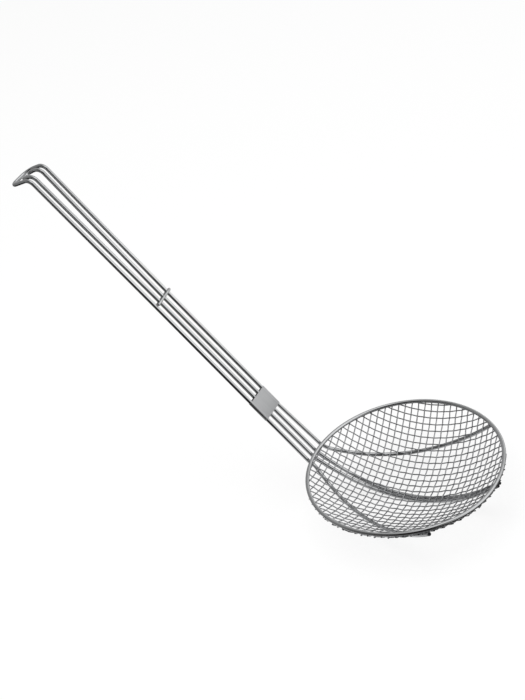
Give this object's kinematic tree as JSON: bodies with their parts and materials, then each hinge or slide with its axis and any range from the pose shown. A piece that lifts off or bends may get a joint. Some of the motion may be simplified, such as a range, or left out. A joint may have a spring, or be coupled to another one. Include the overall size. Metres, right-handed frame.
{
  "type": "wire skimmer",
  "caption": "Wire skimmer with a shallow bowl of square wire cloth in a round hoop, on a flat handle of parallel wires that ends in a hanging hook.",
  "frame": {"origin": "on the bowl's axis, level with the flats under the two middle ribs", "axes": "+Z along the bowl's axis, out of its open side; +X towards the handle, which rises in the XZ plane; +Y across the handle"},
  "size_m": [0.4084, 0.1784, 0.3265],
  "materials": {
    "wire_steel": "bright drawn wire",
    "cloth_steel": "woven wire, slightly dull",
    "sheet_steel": "satin sheet"
  },
  "bodies": {
    "root": {"rim_hoop": "wire_steel", "mesh_bowl": "cloth_steel", "outer_wire": "wire_steel", "inner_wire": "wire_steel", "handle_binder": "wire_steel", "clamp_band": "sheet_steel"}
  },
  "joints": []
}
